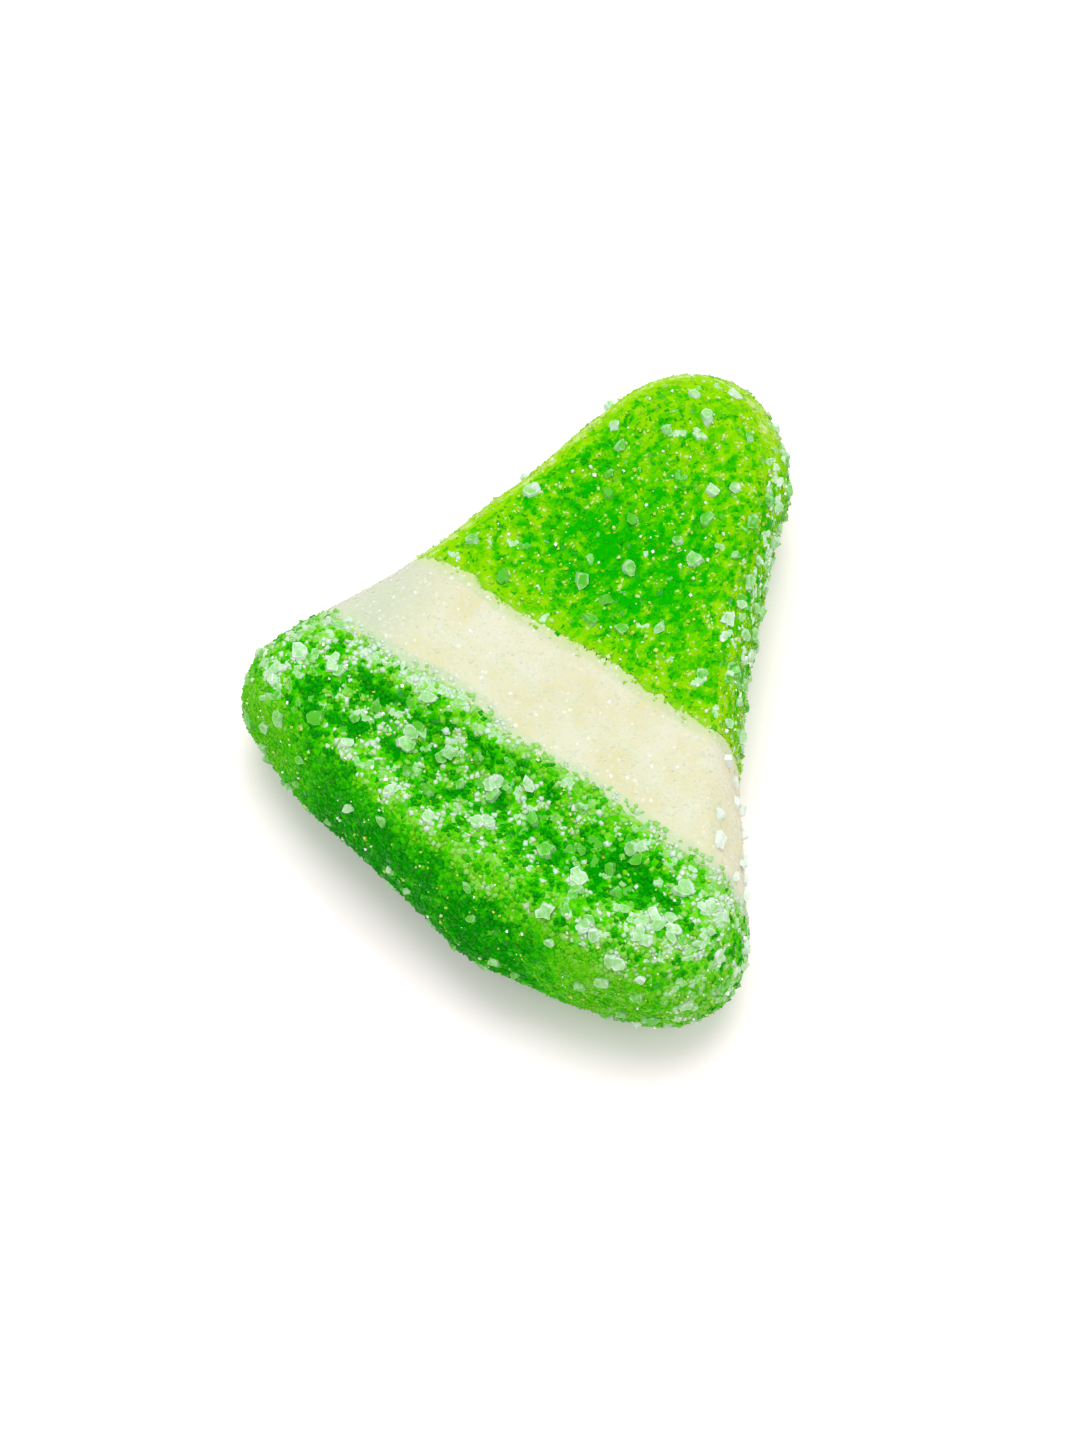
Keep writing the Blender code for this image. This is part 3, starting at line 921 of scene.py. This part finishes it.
class Nodes:
    """A material's node tree, with short calls for the nodes that are used."""

    def __init__(self, name):
        self.material = bpy.data.materials.new(name)
        self.material.use_nodes = True
        self.tree = self.material.node_tree
        self.shader = self.tree.nodes["Principled BSDF"]
        self.place = self.node("TexCoord").outputs["Object"]

    def set(self, **values):
        for name, value in values.items():
            self.shader.inputs[name.replace("_", " ")].default_value = value

    def link(self, output, socket):
        self.tree.links.new(output, self.shader.inputs[socket])

    def feed(self, sockets, values):
        for socket, value in zip(sockets, values):
            if isinstance(value, (int, float, tuple)):
                socket.default_value = value
            else:
                self.tree.links.new(value, socket)

    def node(self, kind, **inputs):
        """A new node, whose named inputs get values or other nodes' outputs."""
        node = self.tree.nodes.new("ShaderNode" + kind)
        self.feed([node.inputs[name] for name in inputs], inputs.values())
        return node

    def attribute(self, name):
        node = self.node("Attribute")
        node.attribute_name = name
        return node.outputs["Fac"]

    def noise(self, grain, detail=2.0, roughness=0.5, output="Fac"):
        """Soft noise whose lumps are about grain metres across."""
        inputs = dict(Scale=1 / grain, Detail=detail, Roughness=roughness, Vector=self.place)
        return self.node("TexNoise", **inputs).outputs[output]

    def warp(self, grain, amount):
        """From here on textures sit on uneven places, moved by up to amount metres."""
        shift = self.node("VectorMath")
        shift.operation = "MULTIPLY_ADD"
        self.feed(shift.inputs, (self.noise(grain, output="Color"), (amount,) * 3, self.place))
        self.place = shift.outputs[0]

    def cells(self, grain, feature="F1", output="Distance"):
        """Cells about grain metres across: distance to the middle or edge, or a number for each."""
        node = self.node("TexVoronoi", Scale=1 / grain, Vector=self.place)
        node.feature = feature
        return node.outputs[output]

    def math(self, operation, *values, clamp=False):
        node = self.node("Math")
        node.operation = operation
        node.use_clamp = clamp
        self.feed(node.inputs, values)
        return node.outputs[0]

    def total(self, start, *terms):
        """start plus each term's value times its factor, kept within 0 and 1."""
        result = start
        for value, factor in terms:
            result = self.math("MULTIPLY_ADD", value, factor, result)
        return self.math("ADD", result, 0.0, clamp=True)

    def ramp(self, fac, *stops):
        """Colours or greys by a value: stops are (position, colour)."""
        node = self.node("ValToRGB")
        while len(node.color_ramp.elements) < len(stops):
            node.color_ramp.elements.new(0.5)
        for element, (position, colour) in zip(node.color_ramp.elements, stops):
            element.position = position
            element.color = colour if isinstance(colour, tuple) else (colour, colour, colour, 1)
        self.tree.links.new(fac, node.inputs[0])
        return node.outputs[0]

    def mix(self, fac, a, b):
        node = self.node("Mix")
        node.data_type = "RGBA"
        self.feed((node.inputs[0], node.inputs[6], node.inputs[7]), (fac, a, b))
        return node.outputs[2]

    def bump(self, height, distance, strength=1.0):
        node = self.node("Bump", Distance=distance, Strength=strength, Height=height)
        self.link(node.outputs[0], "Normal")


# Greens from deep to whitish: tip and base
TIP_GREENS = (
    (0.0, seen(10, 184, 0)),
    (0.3, seen(74, 204, 0)),
    (0.6, seen(142, 220, 4)),
    (0.9, seen(160, 224, 12)),
    (1.0, seen(200, 236, 130)),
)
BASE_GREENS = (
    (0.0, seen(2, 160, 0)),
    (0.28, seen(54, 210, 0)),
    (0.5, seen(118, 224, 16)),
    (0.7, seen(154, 230, 104)),
    (0.85, seen(192, 236, 180)),
    (1.0, seen(222, 247, 222)),
)

# Milky sugar from green to white
MILKY_TINTS = (
    (0.0, seen(84, 200, 30)),
    (0.25, seen(140, 220, 110)),
    (0.5, seen(172, 232, 158)),
    (0.75, seen(206, 242, 202)),
    (1.0, seen(242, 252, 244)),
)

# Glints from yellow-green to white: painted highlights on tiny specks
GLINT_TINTS = (
    (0.0, seen(172, 228, 40)),
    (0.55, seen(205, 240, 90)),
    (0.75, seen(240, 252, 220)),
    (1.0, (0.95, 0.95, 0.95, 1.0)),
)

# How much the green shows on the cream, from the base's border across to the tip's
CREAM_HALO = ((0.0, 0.05), (0.28, 0.5), (0.46, 0.95), (0.52, 0.9), (0.7, 0.4), (0.95, 0.0))


def jelly_material(name, greens, at_cream):
    """Green jelly seen between the grains: a mosaic of deep and light cells with bright seams."""
    n = Nodes(name)
    patches = n.noise(1.5 * MM, 3.0, 0.6)
    n.warp(0.4 * MM, 0.25 * MM)
    cell = n.cells(0.40 * MM, output="Color")
    seam = n.ramp(n.cells(0.40 * MM, "DISTANCE_TO_EDGE"), (0.0, 1.0), (0.10, 0.0))
    # The jelly comes out deeper than the grains over it: partly its own deeper green, partly painted
    # shade in the gaps between grains
    fac = n.total(-0.52, (n.attribute("light"), 0.90), (cell, 0.50), (patches, 0.50), (seam, 0.15))
    near_cream = n.ramp(n.attribute("border"), (0.0, 0.75), (0.35, 0.0))
    n.link(n.mix(near_cream, n.ramp(fac, *greens), at_cream), "Base Color")
    n.set(Roughness=0.4, IOR=1.45, Specular_IOR_Level=0.0, Subsurface_Weight=0.15,
          Subsurface_Scale=0.5 * MM, Subsurface_Radius=(0.5, 1.0, 0.2))
    n.bump(n.cells(0.4 * MM, "SMOOTH_F1"), 0.08 * MM, 0.6)
    return n.material


def coated_material(name, greens):
    """Small crystals that the jelly has soaked, from deep green to whitish; a few are darkened with
    painted shade, as between grains.
    """
    n = Nodes(name)
    fac = n.total(-0.1, (n.attribute("light"), 1.0), (n.noise(0.2 * MM, 2.0), 0.2))
    # Painted shade between grains: grains of the lowest tones are mixed towards dark olive, less where
    # the green is light
    deep = n.ramp(n.attribute("tone"), (0.06, 0.7), (0.22, 0.0))
    painted_shade = n.math("MULTIPLY", deep, n.math("SUBTRACT", 0.9, n.attribute("light"), clamp=True))
    n.link(n.mix(painted_shade, n.ramp(fac, *greens), seen(40, 150, 0)), "Base Color")
    n.set(Roughness=0.3, IOR=1.45, Specular_IOR_Level=0.05)
    return n.material


def milky_material(name):
    """Whitish crystals with green showing through their middles, and a painted highlight along their
    rims.
    """
    n = Nodes(name)
    cloud = n.noise(0.35 * MM, 3.0, 0.6)
    # Painted highlight along each crystal's rim, partly broken up by the cloud
    edge = n.ramp(n.attribute("rim"), (0.60, 0.0), (0.80, 1.0))
    cloudy_rim_highlight = n.math("MULTIPLY", edge, cloud)
    fac = n.total(-0.84, (n.attribute("light"), 0.75), (edge, 0.10), (cloudy_rim_highlight, 0.55), (cloud, 1.25))
    n.link(n.ramp(fac, *MILKY_TINTS), "Base Color")
    n.set(Roughness=0.25, IOR=1.45, Specular_IOR_Level=0.3)
    n.bump(cloud, 0.03 * MM, 0.4)
    return n.material


def clear_material():
    """Clear crystals over the green."""
    n = Nodes("clear_sugar")
    tint = n.ramp(n.attribute("tone"), (0.0, seen(205, 250, 150)), (1.0, seen(250, 255, 235)))
    n.link(tint, "Base Color")
    n.set(Roughness=0.1, IOR=1.4, Transmission_Weight=1.0, Specular_IOR_Level=0.3)
    return n.material


def glint_material():
    """Tiny specks whose yellow-green to white colour is a painted highlight, where facets catch the
    light.
    """
    n = Nodes("glints")
    n.link(n.ramp(n.attribute("tone"), *GLINT_TINTS), "Base Color")
    n.set(Roughness=0.3, IOR=1.5, Specular_IOR_Level=0.5)
    return n.material


def cream_colour(n):
    """The cream's colour: greyer at its left end, yellower in the middle, greener at both borders."""
    cloud = n.noise(2.4 * MM, 3.0, 0.55)
    cream = n.ramp(cloud, (0.35, seen(235, 235, 209)), (0.65, seen(231, 227, 182)))
    cream = n.mix(n.attribute("light"), cream, seen(212, 220, 194))
    across = n.math("MULTIPLY_ADD", n.attribute("border"), 0.5, 0.5, clamp=True)
    halo = n.ramp(across, (0.49, seen(206, 231, 178)), (0.51, seen(206, 232, 140)))
    return n.mix(n.ramp(across, *CREAM_HALO), cream, halo)


def cream_material():
    """Opaque cream foam."""
    n = Nodes("cream_foam")
    n.link(cream_colour(n), "Base Color")
    n.set(Roughness=0.6, IOR=1.45, Specular_IOR_Level=0.1, Subsurface_Weight=0.3,
          Subsurface_Scale=0.4 * MM, Subsurface_Radius=(1.0, 1.0, 0.8))
    n.bump(n.noise(0.35 * MM, 3.0, 0.6), 0.08 * MM, 0.7)
    return n.material


def cream_sugar_material():
    """Fine sugar on the cream: its colour, some of it whiter."""
    n = Nodes("cream_sugar")
    whiter = n.ramp(n.attribute("tone"), (0.3, 0.0), (0.9, 0.2), (1.0, 0.7))
    n.link(n.mix(whiter, cream_colour(n), seen(255, 255, 250)), "Base Color")
    n.set(Roughness=0.35, IOR=1.45, Specular_IOR_Level=0.2)
    return n.material


def drifted(place):
    """A place moved to and fro along Y at the size of a grain, which makes the borders wander."""
    return place + Vector((0, noise.noise(place / BORDER_STEP) * BORDER_DRIFT, 0))


def snap_to_border(vert):
    """Moves a point of a layer's edge onto the wandering border line."""
    place = drifted(vert.co)
    gaps = [line(place.x) - place.y for line in (base_border, tip_border)]
    gap = min(gaps, key=abs)
    if abs(gap) < BORDER_SNAP:
        vert.co.y += gap


def cut_layer(name, bm):
    """One layer's faces of the fine wedge. The cream's run on a little under the greens."""
    part = bm.copy()
    other = []
    for face in part.faces:
        layer, room = layer_of(drifted(face.calc_center_median()))
        if layer != name and not (name == "cream_band" and room < CREAM_UNDER):
            other.append(face)
    bmesh.ops.delete(part, geom=other, context="FACES")
    part.normal_update()
    return part


def sink_under_greens(part):
    """Lowers the margin of the cream that runs on under the greens."""
    for vert in part.verts:
        layer, room = layer_of(drifted(vert.co))
        if layer != "cream_band":
            share = min(1.0, CREAM_SINK_AT_BORDER + CREAM_SINK_RISE * room / CREAM_UNDER)
            vert.co -= vert.normal * CREAM_SINK * share


def layer_piece(name, bm, material):
    """One layer as a closed piece, in the place of its node."""
    part = cut_layer(name, bm)
    rim = [e for e in part.edges if e.is_boundary]
    if name == "cream_band":
        sink_under_greens(part)
    else:
        for vert in {v for e in rim for v in e.verts}:
            snap_to_border(vert)
    places = np.array([v.co for v in part.verts])
    light, mixed, _ = zones(places, np.array([v.normal for v in part.verts]))
    light = light + PATCHES_IN_JELLY * mixed * np.array([patchiness(p) for p in places])
    caps = bmesh.ops.holes_fill(part, edges=rim, sides=0)["faces"]
    bmesh.ops.triangulate(part, faces=caps)
    for face in part.faces:
        face.smooth = True
    for edge in rim:
        edge.smooth = False
    mesh = bpy.data.meshes.new(name + "_body")
    part.to_mesh(mesh)
    part.free()
    set_point_values(mesh, "light", light)
    set_point_values(mesh, "border", np.array([signed_room(Vector(p)) for p in places]))
    obj = new_object(name + "_body", mesh, material)
    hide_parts(name)


def make_bodies(bm):
    tip = jelly_material("tip_jelly", TIP_GREENS, seen(150, 218, 40))
    base = jelly_material("base_jelly", BASE_GREENS, seen(165, 220, 110))
    layer_piece("tip_jelly", bm, tip)
    layer_piece("cream_band", bm, cream_material())
    layer_piece("base_jelly", bm, base)


def solid_crystals():
    """Where the solids' own crystals sit."""
    bm = wedge(SOLID_CUTS)
    bmesh.ops.triangulate(bm, faces=bm.faces[:])
    body = bpy.data.meshes.new("wedge")
    bm.to_mesh(body)
    bm.free()
    return scattered_crystals(body)


def make_large_crystals(skin, spots, milky):
    """The solids' own crystals, with broken edges. The cream's are white."""
    rng = random.Random(SEED + 1)
    shape_rng = random.Random(SEED + 3)
    pieces = [crystal(spot, rng, shape_rng) for spot in spots]
    surface = KDTree(len(skin.middle))
    for i, place in enumerate(skin.middle):
        surface.insert(place, i)
    surface.balance()
    picks = [surface.find(place)[1] for place, _, _, _ in spots]
    light = skin.light + LARGE_CLUMP_SHARE * skin.cluster + LARGE_PATCH_SHARE * skin.patch
    light = np.clip(light + LARGE_LIGHTER, 0, 1)
    light = np.where(skin.layer == "cream_band", LARGE_ON_CREAM, light)
    mesh = joined_mesh("large_crystals", pieces, False, light=light[picks])
    new_object("large_crystals", mesh, milky)


def sugar_densities(skin):
    """Grains of each kind for a square millimetre, at each of the skin's squares."""
    up, right = skin.normal[:, 2], skin.normal[:, 0]
    base, cream, tip = (skin.layer == name for name in ("base_jelly", "cream_band", "tip_jelly"))
    mix = BORDER_MIX / MM
    by_base = cream * rising(skin.border, -mix, mix) * (skin.border < 0)
    by_tip = cream * falling(skin.border, mix, mix) * (skin.border > 0)
    above = rising(up, *UNDERSIDE)
    bare_left = falling(right, *BARE_LEFT) * tip
    sparse_left = 1 - LEFT_THINNED * bare_left
    patchy = np.clip(1.0 + PATCHY * skin.patch + skin.cluster, *PATCHY_RANGE)
    greens = (base | tip) * above
    return {
        "milky_sugar": MILKY_COUNT * skin.pale * patchy * greens * (1 - bare_left),
        "clear_sugar": (CLEAR_COUNT[0] + CLEAR_COUNT[1] * skin.pale) * greens * sparse_left,
        "base_sugar": BASE_COUNT * (base + BASE_ON_CREAM * by_base) * above,
        "tip_sugar": TIP_COUNT * (tip + TIP_ON_CREAM * by_tip) * above * sparse_left,
        "cream_sugar": CREAM_COUNT * cream * above,
        "glints": (GLINT_COUNT[0] + GLINT_COUNT[1] * skin.pale + GLINT_COUNT[2] * tip)
        * patchy * greens * sparse_left,
    }


def make_fine_sugar(skin, spots, milky):
    """Loose sugar of each kind over the layers."""
    grains = Grains(skin, spots)
    materials = {
        "milky_sugar": milky,
        "clear_sugar": clear_material(),
        "base_sugar": coated_material("base_sugar", BASE_GREENS),
        "tip_sugar": coated_material("tip_sugar", TIP_GREENS),
        "cream_sugar": cream_sugar_material(),
        "glints": glint_material(),
    }
    densities = sugar_densities(skin)
    for name, kind in SUGAR_KINDS.items():
        mesh = grains.mesh(name, densities[name], **kind)
        obj = new_object(name, mesh, materials[name])
        if name in CASTS_NO_SHADOW:
            obj.visible_shadow = False
            obj.visible_diffuse = False


def make_camera():
    """A long lens at the photograph's angle, aimed at the middle of the wedge."""
    data = bpy.data.cameras.new("camera")
    data.sensor_fit = "VERTICAL"
    data.sensor_height = SENSOR
    data.lens = PIXELS_PER_MM * VIEW_DISTANCE / MM * SENSOR / IMAGE_HEIGHT
    data.clip_start = CLIP_START
    camera = bpy.data.objects.new("camera", data)
    level = math.cos(VIEW_HEIGHT)
    across = Vector((math.sin(VIEW_AZIMUTH), -math.cos(VIEW_AZIMUTH), 0.0)) * level
    back = across + Vector((0.0, 0.0, math.sin(VIEW_HEIGHT)))
    camera.location = VIEW_AIM + back * VIEW_DISTANCE
    camera.rotation_euler = back.to_track_quat("Z", "Y").to_euler()
    bpy.context.scene.collection.objects.link(camera)
    bpy.context.scene.camera = camera


def view_direction(right, away, up):
    """A direction given as the camera sees it over the floor."""
    ahead = Vector((-math.sin(VIEW_AZIMUTH), math.cos(VIEW_AZIMUTH), 0))
    side = Vector((math.cos(VIEW_AZIMUTH), math.sin(VIEW_AZIMUTH), 0))
    return side * right + ahead * away + Vector((0, 0, up))


def make_sun():
    """A soft light from above the top of the picture."""
    data = bpy.data.lights.new("key", "SUN")
    data.energy = SUN
    data.angle = math.radians(SUN_SPREAD)
    light = bpy.data.objects.new("key", data)
    light.rotation_euler = view_direction(*SUN_FROM).to_track_quat("Z", "Y").to_euler()
    bpy.context.scene.collection.objects.link(light)


def make_air():
    """White air that lights from all sides."""
    world = bpy.data.worlds.new("air")
    world.use_nodes = True
    background = world.node_tree.nodes["Background"]
    background.inputs["Color"].default_value = (1.0, 1.0, 1.0, 1.0)
    background.inputs["Strength"].default_value = AIR
    bpy.context.scene.world = world
    bpy.context.scene.view_settings.view_transform = "Standard"


def make_paper():
    """The white paper under the wedge."""
    bm = bmesh.new()
    bmesh.ops.create_grid(bm, x_segments=8, y_segments=8, size=PAPER_HALF)
    mesh = bpy.data.meshes.new("floor")
    bm.to_mesh(mesh)
    bm.free()
    floor = bpy.data.objects.new("floor", mesh)
    floor.location.z = -PAPER_DROP
    bpy.context.scene.collection.objects.link(floor)
    n = Nodes("paper")
    n.link(n.ramp(n.noise(PAPER_GRAIN), (0.3, PAPER_DARK), (0.7, PAPER_LIGHT)), "Base Color")
    n.set(Roughness=1.0, Specular_IOR_Level=0.0)
    mesh.materials.append(n.material)


def main():
    spots = solid_crystals()
    bm = wedge(FINE_CUTS)
    skin = Skin(bm, spots)
    make_bodies(bm)
    bm.free()
    milky = milky_material("milky_sugar")
    make_large_crystals(skin, spots, milky)
    make_fine_sugar(skin, spots, milky)
    make_camera()
    make_paper()
    make_sun()
    make_air()


main()
